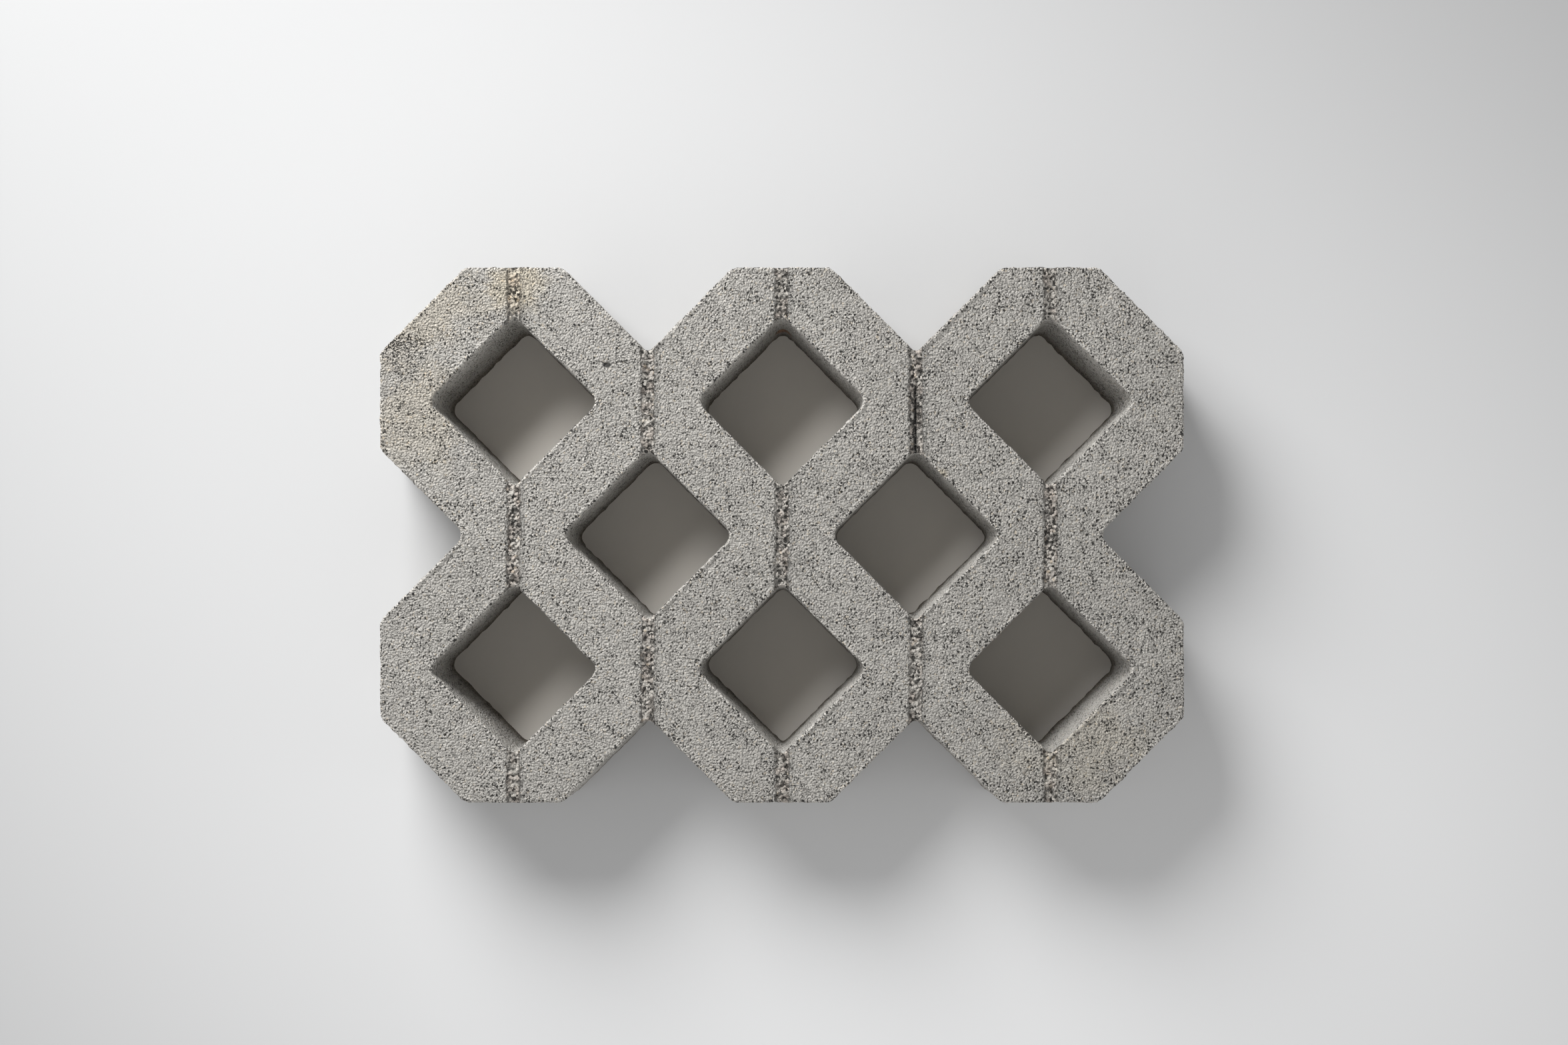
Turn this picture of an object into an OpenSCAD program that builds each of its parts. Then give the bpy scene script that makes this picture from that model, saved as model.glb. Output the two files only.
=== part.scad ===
// Grass paver block: a cast concrete slab pierced by a lattice of diamond-shaped
// openings that are filled with soil and grass once the block is laid.
// The block is one piece. It lies on its bed with the wearing face up.
// Origin: centre of the underside. +X runs along the length, +Z is up.
// All sizes are in millimetres.

/* [Block] */
// Length of the block, along X
block_l = 600; // [450:10:900]
// Width of the block, along Y
block_w = 400; // [320:10:600]
// Thickness from bed to wearing face
block_h = 80; // [40:5:150]

/* [Lattice] */
// Lattice steps along the length; a diamond sits on every second crossing
steps_l = 6; // [4:2:6]
// Lattice steps across the width
steps_w = 4; // [2:2:4]

/* [Openings] */
// Side of the square opening at the wearing face, corner rounding ignored
opening_side = 90; // [50:1:108]
// Rounding radius of the opening's upright corners at the wearing face
corner_r = 9; // [6:0.5:20]
// How much each wall leans in towards the bed, so that the mould lifts off
draft = 2; // [0.5:0.5:4]

/* [Seams] */
// Width of the trough left where two plates of the ramming tool meet
seam_w = 7; // [2:0.5:16]
// Depth of that trough below the wearing face
seam_d = 1.5; // [0.5:0.1:4]

/* [Hidden] */

// Distance between neighbouring lattice lines
step_l = block_l / steps_l;
step_w = block_w / steps_w;

// The mould cores stand this far past both faces, so that each cut is clean
overrun = 5;
core_h = block_h + 2 * overrun;
// How far a wall leans in for each millimetre of depth
lean = draft / block_h;
// The rounding's centre line is upright, so its radius shrinks with depth
corner_centre = opening_side / 2 - corner_r;
core_top_r = corner_r + lean * overrun;
core_low_r = corner_r - draft - lean * overrun;

// True where the opening's wall that faces this way has its middle inside the block
function wall_inside(x, y, way) =
    abs(x + opening_side / 2 * cos(way)) < block_l / 2
    && abs(y + opening_side / 2 * sin(way)) < block_w / 2;

// A leaf stops at the corner centres, but runs on where the block's edge cuts it off,
// so that the walls meet that edge in sharp corners
function leaf_reach(inside) = inside ? corner_centre : opening_side;

// A plate of the mould core, along Y, whose two long walls lean with the draft
module core_leaf(back, front) {
    top_half = corner_centre + core_top_r;
    low_half = corner_centre + core_low_r;
    translate([0, front, 0])
        rotate([90, 0, 0])
            linear_extrude(height = back + front)
                polygon([
                    [-low_half, 0],
                    [low_half, 0],
                    [top_half, core_h],
                    [-top_half, core_h]
                ]);
}

// The mould core of the opening whose middle is at x, y: two crossed leaves make a
// square that stands on its corner, and a cone rounds each corner inside the block
module mould_core(x, y) {
    // Its four walls, counted round from the one that faces back and right
    inside = [for (way = [45:90:315]) wall_inside(x, y, way)];
    translate([x, y, -overrun])
        rotate([0, 0, 45]) {
            core_leaf(leaf_reach(inside[3]), leaf_reach(inside[1]));
            rotate([0, 0, 90])
                core_leaf(leaf_reach(inside[0]), leaf_reach(inside[2]));
            for (wall = [0:3])
                if (inside[wall] && inside[(wall + 1) % 4])
                    rotate([0, 0, 90 * wall])
                        translate([corner_centre, corner_centre, 0])
                            cylinder(h = core_h, r1 = core_low_r, r2 = core_top_r, $fn = 48);
        }
}

// Cores stand on every second lattice crossing, counted from the block's corner,
// so the edges and corners of the block cut through the middle of a diamond
module openings() {
    for (i = [0:steps_l], j = [0:steps_w])
        if ((i + j) % 2 == 0)
            mould_core(i * step_l - block_l / 2, j * step_w - block_w / 2);
}

// Shallow troughs across the wearing face, one on each inner lattice line
module seams() {
    for (i = [1:steps_l - 1])
        translate([
            i * step_l - block_l / 2 - seam_w / 2,
            -block_w / 2 - overrun,
            block_h - seam_d
        ])
            cube([seam_w, block_w + 2 * overrun, seam_d + overrun]);
}

// The whole block
module paver_block() {
    color("#a9a8a3")
        difference() {
            translate([-block_l / 2, -block_w / 2, 0])
                cube([block_l, block_w, block_h]);
            openings();
            seams();
        }
}

paver_block();
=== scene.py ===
# %% [markdown]
# # A grass paver block
#
# The block is one casting. Stiff, almost dry concrete is shaken into a steel mould, a
# tool with diamond-shaped feet rams it from above, and the mould is pulled up at once.
# Everything the eye reads as "concrete" comes from that:
#
# - the rammed upper face is open and gritty, because there is hardly any free paste;
# - the walls are finer, because the steel wiped them on its way up;
# - the upper rims are worn and ragged, because nothing but damp sand held them while the
#   mould came off;
# - rough seams cross the upper face, where two plates of the tool meet.
#
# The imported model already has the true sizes. This script replaces its plain surface by
# one with that relief, and then gives it the finish of the material.

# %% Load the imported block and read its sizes
import itertools

import bpy
import numpy as np
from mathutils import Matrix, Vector


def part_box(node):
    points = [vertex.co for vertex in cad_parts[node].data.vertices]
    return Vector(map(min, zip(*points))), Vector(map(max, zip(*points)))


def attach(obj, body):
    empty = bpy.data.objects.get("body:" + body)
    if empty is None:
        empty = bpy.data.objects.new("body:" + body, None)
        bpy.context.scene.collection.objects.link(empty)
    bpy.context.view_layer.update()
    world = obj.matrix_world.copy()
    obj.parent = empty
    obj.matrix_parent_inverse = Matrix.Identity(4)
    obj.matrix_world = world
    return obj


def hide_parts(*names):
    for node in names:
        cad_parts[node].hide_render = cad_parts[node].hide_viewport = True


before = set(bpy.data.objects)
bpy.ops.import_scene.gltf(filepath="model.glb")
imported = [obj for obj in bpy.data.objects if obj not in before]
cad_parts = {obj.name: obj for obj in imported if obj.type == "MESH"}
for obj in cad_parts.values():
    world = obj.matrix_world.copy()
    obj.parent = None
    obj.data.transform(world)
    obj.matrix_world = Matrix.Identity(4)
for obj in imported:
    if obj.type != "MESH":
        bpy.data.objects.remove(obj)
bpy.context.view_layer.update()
MM = 0.001

HALF_L, HALF_W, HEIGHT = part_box("paver_block")[1]
print(f"block {2 * HALF_L / MM:.0f} x {2 * HALF_W / MM:.0f} x {HEIGHT / MM:.0f} mm")

# %% [markdown]
# The openings are squares standing on their corners, on every second crossing of a
# lattice with 6 by 4 steps. Seen along the diagonals, the pattern becomes a plain
# chequered grid: with `u` and `v` as the two diagonal directions, every wall of every
# opening is a line of constant `u` or constant `v`.

# %% Sizes of the lattice
STEPS_LONG = 6
STEP = 2 * HALF_L / STEPS_LONG
OPENING_SIDE = 90 * MM
DRAFT = 2 * MM
SIDE_TIP_R = 8.0 * MM
UPPER_TIP_R = 6.5 * MM
LOWER_TIP_R = 4.0 * MM
ROOT2 = 2 ** 0.5
DIAGONAL_STEP = STEP / ROOT2
TIP = OPENING_SIDE / ROOT2
TOUCH = MM / 1000


def to_diagonal(x, y):
    """Distances along the diagonals: u = (x + y) / root 2, v = (y - x) / root 2."""
    return (x + y) / ROOT2, (y - x) / ROOT2


def to_world(u, v):
    """The way back to world x, y: x = (u - v) / root 2, y = (u + v) / root 2."""
    return (u - v) / ROOT2, (u + v) / ROOT2


print(f"lattice step {STEP / MM:.0f} mm, openings reach {TIP / MM:.1f} mm from their middles")

# %% [markdown]
# ## A grid that follows the walls
#
# A surface with real relief needs many small faces, and the sharp rims need faces that
# end exactly on them. One way is to scatter points and triangulate them; the faces then
# come out ragged. Here the block helps: one list of positions, used for both `u` and
# `v`, puts grid lines on every wall, and closer lines beside it, where the rim is worn.
# The straight outer edges run along the diagonals of the same grid cells.

# %% The grid lines from the middle of an opening to the middle of the next web
BESIDE_WALL_IN_WEB = np.array([0.6, 0.8, 1.0, 1.2, 1.4]) * MM
BESIDE_WALL_IN_OPENING = np.array([0.9, 1.1, 1.2, 1.3, 1.4, 1.5, 1.6]) * MM
WEB_CELLS = 16
OPENING_CELLS = 24
HALF_PERIOD = OPENING_CELLS + WEB_CELLS


def graded(first_cells, length, count):
    """Positions from 0 to length: the given cells first, then equal ones, count in all."""
    rest = (length - first_cells.sum()) / (count - len(first_cells))
    cells = np.append(first_cells, np.full(count - len(first_cells), rest))
    return np.append(0, np.cumsum(cells))


wall_at = OPENING_SIDE / 2
in_opening = wall_at - graded(BESIDE_WALL_IN_OPENING, wall_at, OPENING_CELLS)[::-1]
in_web = wall_at + graded(BESIDE_WALL_IN_WEB, DIAGONAL_STEP - wall_at, WEB_CELLS)
half_period = np.append(in_opening, in_web[1:])
print(f"{HALF_PERIOD} cells in {DIAGONAL_STEP / MM:.1f} mm")

# %% The same lines carried across the whole block
REACH = int(round((HALF_L + HALF_W) / ROOT2 / DIAGONAL_STEP))
number = np.arange(2 * REACH * HALF_PERIOD + 1)
block_of = np.minimum(number // HALF_PERIOD, 2 * REACH - 1)
step_in = number - block_of * HALF_PERIOD
starts_at_opening = (block_of - REACH) % 2 != 0
from_middle = half_period[np.where(starts_at_opening, step_in, HALF_PERIOD - step_in)]
middle = (block_of - REACH + np.where(starts_at_opening, 0, 1)) * DIAGONAL_STEP
side = np.where(starts_at_opening, 1, -1)
LINES = middle + side * from_middle

# The walls lean in by DRAFT on the way down, and the other lines share the movement
share = np.where(
    from_middle <= wall_at,
    from_middle / wall_at,
    (DIAGONAL_STEP - from_middle) / (DIAGONAL_STEP - wall_at),
)
LEAN = -side * share * DRAFT
apart = np.diff(LINES) / MM
print(f"{len(LINES)} lines each way, {apart.min():.2f} to {apart.max():.2f} mm apart")

# %% [markdown]
# ## Distance to the nearest rim
#
# Much of the relief depends on how far a point is from a wall. That distance has a
# formula. Fold the plan so that every point looks at its nearest opening, then take the
# distance to a square with rounded corners. Corners that lie on the block's own edge
# stay sharp, because the wall simply runs out there.


# %% The distance formula
def nearest_opening(p):
    """The nearest odd multiple of the diagonal step: where an opening's middle lies."""
    return (2 * np.floor(p / (2 * DIAGONAL_STEP)) + 1) * DIAGONAL_STEP


def corner_radius(a, b, middle_u, middle_v):
    """Rounding of the corner that a point at a, b from an opening's middle looks at.

    The tips above and below the middle meet a seam and are tighter than the two at the
    sides, the lower one most. A tip on the block's edge has no rounding at all.
    """
    tip_x, tip_y = to_world(middle_u + np.sign(a) * wall_at, middle_v + np.sign(b) * wall_at)
    inside = (np.abs(tip_x) < HALF_L - MM) & (np.abs(tip_y) < HALF_W - MM)
    on_seam = np.sign(a) == np.sign(b)
    radius = np.where(on_seam, np.where(a > 0, UPPER_TIP_R, LOWER_TIP_R), SIDE_TIP_R)
    return np.where(inside, radius, 0.0)


def rim_distance(x, y, depth):
    """Distances inside the concrete to the nearest opening wall and to the outer edge."""
    u, v = to_diagonal(x, y)
    middle_u, middle_v = nearest_opening(u), nearest_opening(v)
    a, b = u - middle_u, v - middle_v
    radius = corner_radius(a, b, middle_u, middle_v)
    reach = wall_at - DRAFT * depth / HEIGHT - radius
    qa, qb = np.abs(a) - reach, np.abs(b) - reach
    outside = np.hypot(np.maximum(qa, 0), np.maximum(qb, 0))
    wall = outside + np.minimum(np.maximum(qa, qb), 0) - radius
    edge = np.minimum(HALF_L - np.abs(x), HALF_W - np.abs(y))
    return wall, edge


# %% [markdown]
# The grid lines make square corners. To round them, points near a corner are drawn
# towards it along rays from the rounding's centre: a square ring becomes a round one,
# and the movement fades out a little way into the concrete.

# %% Plan position of a grid node at any depth
ROUNDING_FADES_OVER = 13 * MM


def plan(i, j, depth):
    """World x, y of grid node i, j on the level at `depth` below the wearing face."""
    lean = depth / HEIGHT
    u, v = LINES[i] + LEAN[i] * lean, LINES[j] + LEAN[j] * lean
    middle_u, middle_v = middle[i], middle[j]
    a, b = u - middle_u, v - middle_v
    radius = corner_radius(a, b, middle_u, middle_v)
    centre = wall_at - DRAFT * lean - radius
    qa, qb = np.abs(a) - centre, np.abs(b) - centre
    square_ring = np.maximum(qa, qb)
    round_ring = np.maximum(np.hypot(qa, qb), TOUCH)
    fade = np.clip(1 - (square_ring - radius) / ROUNDING_FADES_OVER, 0, 1) ** 2
    in_corner = (qa > 0) & (qb > 0) & (radius > 0)
    pull = np.where(in_corner, 1 + fade * (square_ring / round_ring - 1), 1)
    a = np.where(in_corner, np.sign(a) * (centre + qa * pull), a)
    b = np.where(in_corner, np.sign(b) * (centre + qb * pull), b)
    return to_world(middle_u + a, middle_v + b)


# %% [markdown]
# ## Which cells are concrete
#
# A cell is open if it lies in an opening's band in both directions. Cells whose middle
# lies on a straight outer edge are cut in half along their diagonal.


# %% Faces of the upper and the lower face
def grid_number(nodes):
    """One number for each row i, j of grid nodes: i x number of lines + j."""
    return nodes[:, 0] * len(LINES) + nodes[:, 1]


def flat_faces(every):
    """Faces between every n-th grid line, as rows of four grid numbers.

    A half cell repeats a corner, and all faces run anticlockwise from above.
    """
    k = np.arange(0, len(LINES) - 1, every)
    i, j = (m.ravel() for m in np.meshgrid(k, k, indexing="ij"))
    mid_u, mid_v = (LINES[i] + LINES[i + every]) / 2, (LINES[j] + LINES[j + every]) / 2
    x, y = to_world(mid_u, mid_v)
    band_u = np.abs(mid_u - nearest_opening(mid_u)) < wall_at
    band_v = np.abs(mid_v - nearest_opening(mid_v)) < wall_at
    inside = (np.abs(x) < HALF_L + TOUCH) & (np.abs(y) < HALF_W + TOUCH)
    solid = ~(band_u & band_v) & inside
    i, j, x, y = i[solid], j[solid], x[solid], y[solid]
    n = len(LINES)
    a, b = i * n + j, (i + every) * n + j
    c, d = (i + every) * n + j + every, i * n + j + every
    faces = np.stack([a, b, c, d], axis=1)
    # Anticlockwise corners: a is the front one, b the right one, c the back, d the left
    faces[y > HALF_W - TOUCH] = np.stack([a, b, d, d], axis=1)[y > HALF_W - TOUCH]
    faces[y < -HALF_W + TOUCH] = np.stack([b, c, d, d], axis=1)[y < -HALF_W + TOUCH]
    faces[x > HALF_L - TOUCH] = np.stack([a, c, d, d], axis=1)[x > HALF_L - TOUCH]
    faces[x < -HALF_L + TOUCH] = np.stack([a, b, c, c], axis=1)[x < -HALF_L + TOUCH]
    return faces


COARSE = 2
top_faces = flat_faces(1)
bed_faces = flat_faces(COARSE)
print(f"{len(top_faces)} faces above, {len(bed_faces)} below")

# %% [markdown]
# ## The loops of rim nodes
#
# Walls hang from closed loops of nodes: one round each opening, one round the outside.
# Every loop is a chain of straight legs between corners, so it can be written down from
# the corners alone.


# %% Build the loops
def nearest_line(p):
    """Number of the grid line at position p."""
    return np.abs(LINES[:, None] - p).argmin(axis=0)


def loop_through(u, v):
    """Grid nodes of a closed chain of legs, each along u, along v or along a diagonal."""
    corners = np.stack([nearest_line(u), nearest_line(v)], axis=1)
    legs = []
    for start, stop in zip(corners, np.roll(corners, -1, axis=0)):
        count = np.abs(stop - start).max()
        legs.append(start + np.arange(count)[:, None] * np.sign(stop - start))
    return np.concatenate(legs)


quarter = np.array([
    (HALF_L - TIP, 0),
    (HALF_L, TIP),
    (HALF_L, HALF_W - TIP),
    (HALF_L - TIP, HALF_W),
    (HALF_L - 2 * STEP + TIP, HALF_W),
    (HALF_L - 2 * STEP, HALF_W - TIP),
    (HALF_L - 2 * STEP - TIP, HALF_W),
])
half_turn = np.concatenate([quarter, quarter[:0:-1] * (-1, 1)])
outline = np.concatenate([half_turn, -half_turn])
loops = [loop_through(*to_diagonal(*outline.T))]

square = np.array([(-1, -1), (-1, 1), (1, 1), (1, -1)]) * wall_at
odd = np.arange(-REACH, REACH + 1, 2) * DIAGONAL_STEP
for hole_u, hole_v in itertools.product(odd, odd):
    hole_x, hole_y = to_world(hole_u, hole_v)
    if abs(hole_x) < HALF_L - MM and abs(hole_y) < HALF_W - MM:
        loops.append(loop_through(*(square + (hole_u, hole_v)).T))
print(f"{len(loops)} loops, {sum(map(len, loops))} rim nodes")

# %% [markdown]
# ## Random but repeatable roughness
#
# `noise` gives each cell corner of a cubic lattice a random number and blends between
# them. `pits` scatters small bowls: at most one in each cell, at a random place and of a
# random size. Both hash whole numbers, so every run gives the same block.
#
# The values below stand in rows, each in the order in which its function takes them: size,
# height and seed for a layer of noise; spacing, radius, chance and seed for pits; height,
# middle and width for a bell; height and reach for a fade.


# %% Curves that relief is made of
def soft_step(value, start, stop):
    """0 before start, 1 after stop, and 3t^2 - 2t^3 between them."""
    t = np.clip((value - start) / (stop - start), 0, 1)
    return t * t * (3 - 2 * t)


def bell(value, height, middle, width):
    """Highest at the middle: height x exp(-((value - middle) / width)^2)."""
    return np.exp(-(((value - middle) / width) ** 2)) * height


def fade(distance, height, over):
    """Highest at distance 0: height x exp(-distance / over)."""
    return np.exp(-distance / over) * height


def at_level(x, y, z=0.0):
    """Points x, y, z as rows, all on one level if z is a number."""
    return np.stack(np.broadcast_arrays(x, y, z), axis=1)


# %% Noise and pits
AXIS_FACTORS = np.array([73856093, 19349663, 83492791])
SEED_FACTOR = 2654435761
SHIFTS_AND_FACTORS = ((15, 2246822519), (13, 3266489917))
LOW_32_BITS = 0xFFFFFFFF
LOW_24_BITS = 0xFFFFFF


def scramble(cells, seed):
    """A random number from 0 to 1 for each row of three whole numbers."""
    key = cells.astype(np.int64) @ AXIS_FACTORS + seed * SEED_FACTOR
    for shift, factor in SHIFTS_AND_FACTORS:
        key = (key ^ (key >> shift)) * factor & LOW_32_BITS
    return ((key ^ (key >> 16)) & LOW_24_BITS) / LOW_24_BITS


def noise(points, size, seed):
    """Smooth random field from -1 to 1, with bumps about `size` apart.

    Sum over the 8 corners of the cell of: random number x product of s or 1 - s, where
    s = 3t^2 - 2t^3 and t is the place within the cell along each axis.
    """
    cell = np.floor(points / size)
    s = soft_step(points / size - cell, 0, 1)
    total = np.zeros(len(points))
    for corner in itertools.product((0, 1), repeat=3):
        weight = np.prod(np.where(corner, s, 1 - s), axis=1)
        total += weight * (2 * scramble(cell + corner, seed) - 1)
    return total


def layers(points, rows):
    """Sum of noise x height over rows of size, height and seed."""
    return sum(noise(points, size, seed) * height for size, height, seed in rows)


def varied(points, mean, rows, low, high):
    """A factor that changes from place to place: mean + layers, kept between low and high."""
    return np.clip(mean + layers(points, rows), low, high)


def pits(points, spacing, radius, chance, seed):
    """Depth from 0 to 1 of round bowls: (1 - (distance / radius)^2)^2 inside each one.

    Each bowl has a random radius of its own, from half of `radius` to all of it.
    """
    cell = np.floor(points / spacing)
    deepest = np.zeros(len(points))
    for step in itertools.product((-1, 0, 1), repeat=3):
        near = cell + step
        place = np.stack([scramble(near, seed + k) for k in range(3)], axis=1)
        size = radius * (0.5 + 0.5 * scramble(near, seed + 3))
        gap = np.linalg.norm(points - (near + place) * spacing, axis=1) / size
        bowl = np.clip(1 - gap * gap, 0, 1) ** 2
        deepest = np.maximum(deepest, np.where(scramble(near, seed + 4) < chance, bowl, 0))
    return deepest


# %% [markdown]
# ## Relief of the wearing face
#
# The face gets, from large to small: slow undulation, pits and grit. Along every rim the
# edge is worn down, a low crest stands just behind it and a shallow furrow behind that,
# and here and there a chip is missing. A seam is two thin ragged ridges with loose,
# half-rammed mix between them; where the plates stood apart, a groove runs along it.

# %% Heights across a seam
SEAM_HALF = 5.0 * MM
SEAM_WANDER = [(28 * MM, 0.7 * MM, 11)]
SEAM_BORDER = 0.7 * MM
SEAM_DEPTH = 0.9 * MM
SEAM_DEPTH_VARIES = (0.75, [(16 * MM, 0.6, 13)], 0.3, 1.3)
SEAM_LIP = (0.45 * MM, SEAM_HALF + 0.9 * MM, 0.9 * MM)
LIP_VARIES = (0.7, [(8 * MM, 0.9, 12)], 0, 1.5)
CRUMBS = [(3.0 * MM, 0.6 * MM, 14), (6 * MM, 0.3 * MM, 16)]
DRAWN_ALONG_SEAM = (0.3, 1, 1)
GAPE = (1.3 * MM, 3.5 * MM)
GROOVE = (1.0, -0.4 * MM, 1.6 * MM)
GROOVE_DEPTH = 1.3 * MM
GROOVE_PATCHES = (24 * MM, 15)
GROOVE_SHOWS = (0.0, 0.5)
PLATES_APART = 0.6
OPEN_SEAM = 1.5
OPEN_SEAM_X = STEP
OPEN_SEAM_Y = 0.85 * STEP
OPEN_SEAM_HALF = 0.28 * STEP
OPEN_SEAM_BORDER = 3 * MM


def seam_offset(x, y):
    """Distance from the nearest seam, which wanders a little to either side."""
    line = np.clip(np.round(x / STEP), 1 - STEPS_LONG // 2, STEPS_LONG // 2 - 1) * STEP
    return x - line - layers(at_level(line, y), SEAM_WANDER)


def groove_strength(x, y):
    """How far the plates stood apart: 0 where closed, and most where one seam is open."""
    line = np.round(x / STEP) * STEP
    along = noise(at_level(line, y), *GROOVE_PATCHES)
    from_open = np.abs(y - OPEN_SEAM_Y) - OPEN_SEAM_HALF
    opened = soft_step(-from_open, 0, OPEN_SEAM_BORDER) * (np.abs(x - OPEN_SEAM_X) < STEP / 2)
    return np.maximum(soft_step(along, *GROOVE_SHOWS) * PLATES_APART, opened * OPEN_SEAM)


def groove_profile(x, y, offset):
    """Strength of the groove times a bell curve across it, a little left of the seam."""
    return bell(offset, *GROOVE) * groove_strength(x, y)


def seam_height(x, y, points, distance):
    """Lips + crumbs - trench - groove, with the crumbs and the trench only inside the seam.

    At the rim of an opening the seam gapes, so the trench deepens over the last few mm.
    """
    offset = seam_offset(x, y)
    across = np.abs(offset)
    along = points * DRAWN_ALONG_SEAM
    inside = soft_step(-across, -SEAM_HALF - SEAM_BORDER, SEAM_BORDER - SEAM_HALF)
    trench = varied(along, *SEAM_DEPTH_VARIES) * SEAM_DEPTH + fade(distance, *GAPE)
    lip = bell(across, *SEAM_LIP) * varied(along, *LIP_VARIES)
    groove = groove_profile(x, y, offset) * GROOVE_DEPTH
    return lip + inside * (layers(points, CRUMBS) - trench) - groove


# %% Heights on the wearing face
UNDULATION = [(34 * MM, 0.22 * MM, 1), (11 * MM, 0.16 * MM, 2)]
GRIT = [(4.2 * MM, 0.18 * MM, 3), (2.3 * MM, 0.16 * MM, 4)]
SMALL_PITS = (7 * MM, 2.6 * MM, 0.35, 20)
SMALL_PIT_DEPTH = 0.8 * MM
LARGE_PITS = (26 * MM, 4.0 * MM, 0.35, 30)
LARGE_PIT_DEPTH = 1.5 * MM
AIR_HOLE = (-1.305 * STEP, 1.27 * STEP, 0)
AIR_HOLE_SIZE = (4.6 * MM, 3.0 * MM, MM)
WORN = (1.2 * MM, 1.1 * MM)
CREST = (0.9 * MM, 1.8 * MM, 1.1 * MM)
FURROW = (0.4 * MM, 4.0 * MM, 1.3 * MM)
RIM_VARIES = (0.8, [(4 * MM, 0.6, 5), (23 * MM, 0.5, 6)], 0, 1.6)
RIM_CHIPS = (12 * MM, 3.6 * MM, 0.45, 70)
CHIP_DEPTH = (1.9 * MM, 2 * MM)
# The rammed plane lies this far below the true height, which leaves room for crests
HEADROOM = 1.1 * MM


def face_pits(points):
    """Pits from 0 to 1: many small ones, a few large, and one that stands by itself."""
    away = np.linalg.norm((points - AIR_HOLE) / AIR_HOLE_SIZE, axis=1)
    large = np.maximum(pits(points, *LARGE_PITS), np.clip(1 - away * away, 0, 1))
    return pits(points, *SMALL_PITS), large


def face_height(x, y, distance):
    """Height above the plane that the tool rammed, at `distance` from the nearest rim.

    Undulation + grit - pits - worn edge + crest - furrow - chips + seam.
    """
    points = at_level(x, y)
    small, large = face_pits(points)
    strength = varied(points, *RIM_VARIES)
    worn = fade(distance, *WORN) * (0.5 + 0.5 * strength)
    crest = bell(distance, *CREST) * strength
    furrow = bell(distance, *FURROW) * strength
    chips = pits(points, *RIM_CHIPS) * fade(distance, *CHIP_DEPTH)
    relief = layers(points, UNDULATION + GRIT) - small * SMALL_PIT_DEPTH - large * LARGE_PIT_DEPTH
    return relief - worn + crest - furrow - chips + seam_height(x, y, points, distance)


# %% [markdown]
# ## Relief of the walls
#
# The steel drags grains upwards, so the roughness of a wall is drawn out along Z. The
# rim itself is nibbled, and crumbs are missing along the lower edge.

# %% Outward relief of a wall
NIBBLE = [(6 * MM, 0.22 * MM, 40), (2.4 * MM, 0.48 * MM, 41)]
DRAG = [(3 * MM, 0.26 * MM, 42), (14 * MM, 0.06 * MM, 43)]
DRAWN_UP = (1, 1, 0.25)
BEADS = (3.4 * MM, 1.7 * MM, 0.5, 80)
BEAD_HEIGHT = 1.1 * MM
CHIP_IN_WALL = 1.5 * MM
RIM_OVER = 1.6 * MM
HOLES = (9 * MM, 3.2 * MM, 0.4, 50)
HOLE_DEPTH = 0.9 * MM
BELOW_RIM = 3 * MM
FOOT = 5 * MM
FOOT_VARIES = (0.2, [(4 * MM, 1.0, 44)], 0, 1)
FOOT_DEPTH = 0.5 * MM
WALL_INSET = 0.45 * MM
WALL_RANGE = (-1.7 * MM, 0.9 * MM)


def wall_relief(points, depth):
    """Movement of a wall towards the open side, in metres.

    Nibbles + beads and chips near the rim + drag and holes below it - crumbled foot - inset.
    """
    beads = pits(points, *BEADS) * BEAD_HEIGHT
    chips = pits(points * (1, 1, 0), *RIM_CHIPS) * CHIP_IN_WALL
    rim = fade(depth, beads - chips, RIM_OVER)
    dragged = layers(points * DRAWN_UP, DRAG) - pits(points, *HOLES) * HOLE_DEPTH
    below = np.clip(depth / BELOW_RIM, 0, 1)
    foot = np.clip((depth - HEIGHT + FOOT) / FOOT, 0, 1)
    crumbled = varied(points, *FOOT_VARIES) * foot ** 2 * FOOT_DEPTH
    total = layers(points, NIBBLE) + rim + below * dragged - crumbled - WALL_INSET
    return np.clip(total, *WALL_RANGE)


# %% Move a wall or a rim by its relief
CORNER_WEAR = 3.6 * MM
NUDGE = 0.05 * MM


def push(x, y, depth, relief):
    """Moves points by `relief` towards the open side, and wears off the outer corners.

    The direction is that in which the distance to the nearest wall shrinks. Where a wall
    and an outer edge are about as near, k - |difference| = h of them wears h^2 / 4k away.
    """
    wall, edge = rim_distance(x, y, depth)
    mix = np.clip(0.5 + (wall - edge) / (2 * CORNER_WEAR), 0, 1)
    slopes = []
    for dx, dy in ((NUDGE, 0), (0, NUDGE)):
        ahead = rim_distance(x + dx, y + dy, depth)
        behind = rim_distance(x - dx, y - dy, depth)
        slope = [(f - g) / (2 * NUDGE) for f, g in zip(ahead, behind)]
        slopes.append(-(slope[0] * (1 - mix) + slope[1] * mix))
    length = np.maximum(np.hypot(*slopes), TOUCH)
    overlap = np.clip(CORNER_WEAR - np.abs(wall - edge), 0, None)
    shift = relief - overlap ** 2 / (4 * CORNER_WEAR)
    return x + slopes[0] / length * shift, y + slopes[1] / length * shift


# %% [markdown]
# The crumbs on a rim are finer than the grid. So every rim edge gets one more node in its
# middle, and the face beside it is split into a fan of triangles round that node.


# %% Nodes and faces of the wearing face
def sheet_nodes(faces):
    """The grid nodes that a set of faces uses, and those faces renumbered from 0."""
    used, renumbered = np.unique(faces, return_inverse=True)
    return used, renumbered.reshape(faces.shape)


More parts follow.
